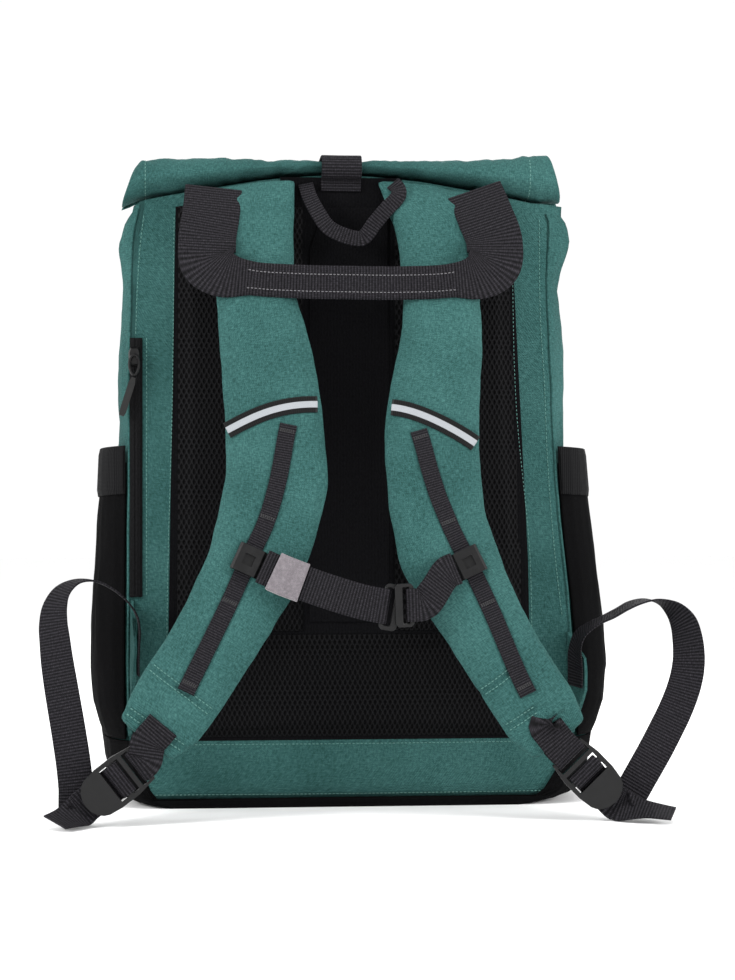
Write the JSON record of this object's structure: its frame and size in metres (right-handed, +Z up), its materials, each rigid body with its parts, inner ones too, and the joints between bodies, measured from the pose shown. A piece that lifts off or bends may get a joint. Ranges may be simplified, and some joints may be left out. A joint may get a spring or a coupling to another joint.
{
  "type": "roll-top backpack",
  "caption": "Roll-top backpack with two padded shoulder straps, chest strap, carry handle, padded mesh back, stretch side pockets and a side zip.",
  "frame": {"origin": "middle of the flat bottom that the bag stands on", "axes": "+X to the right when looking at the side with the shoulder straps, +Y from that side into the bag, +Z up"},
  "size_m": [0.4841, 0.2794, 0.4931],
  "materials": {
    "teal_cloth": "woven",
    "black_cloth": "woven",
    "mesh": "spacer mesh",
    "elastic": "ribbed",
    "webbing": "ribbed",
    "reflective": "satin",
    "felt": "felt",
    "plastic": "moulded",
    "metal": "satin"
  },
  "bodies": {
    "bag": {"adjuster_webbing_left": "webbing", "adjuster_webbing_right": "webbing", "back_pad_left": "mesh", "back_pad_right": "mesh", "bag_body": "teal_cloth", "base_boot": "black_cloth", "carry_handle": "webbing", "chest_slider_left": "plastic", "chest_slider_right": "plastic", "chest_webbing_left": "webbing", "chest_webbing_right": "webbing", "closure_anchor": "webbing", "closure_clasp": "plastic", "closure_strap": "webbing", "hang_loop": "webbing", "ladder_lock_left": "plastic", "ladder_lock_right": "plastic", "lumbar_pad": "mesh", "pocket_rim_left": "elastic", "pocket_rim_right": "elastic", "reflective_band_left": "reflective", "reflective_band_right": "reflective", "roll_top": "teal_cloth", "shoulder_strap_left": "teal_cloth", "shoulder_strap_right": "teal_cloth", "side_pocket_left": "black_cloth", "side_pocket_right": "black_cloth", "spine_panel": "black_cloth", "sternum_buckle": "plastic", "sternum_hook": "metal", "sternum_keeper": "felt", "sternum_strap_left": "webbing", "sternum_strap_right": "webbing", "strap_end_tab_left": "webbing", "strap_end_tab_right": "webbing", "wing_left": "teal_cloth", "wing_right": "teal_cloth", "zip_slider": "metal", "zip_tape": "black_cloth"},
    "zip_pull": {"zip_pull_ring": "metal", "zip_pull_cord": "plastic"}
  },
  "joints": [
    {"name": "zip_pull_swing", "type": "hinge", "parent": "bag", "child": "zip_pull", "pos_m": [-0.15545, -0.0863, 0.337], "axis": [-1, 0, 0], "range_deg": [0, 150]}
  ]
}
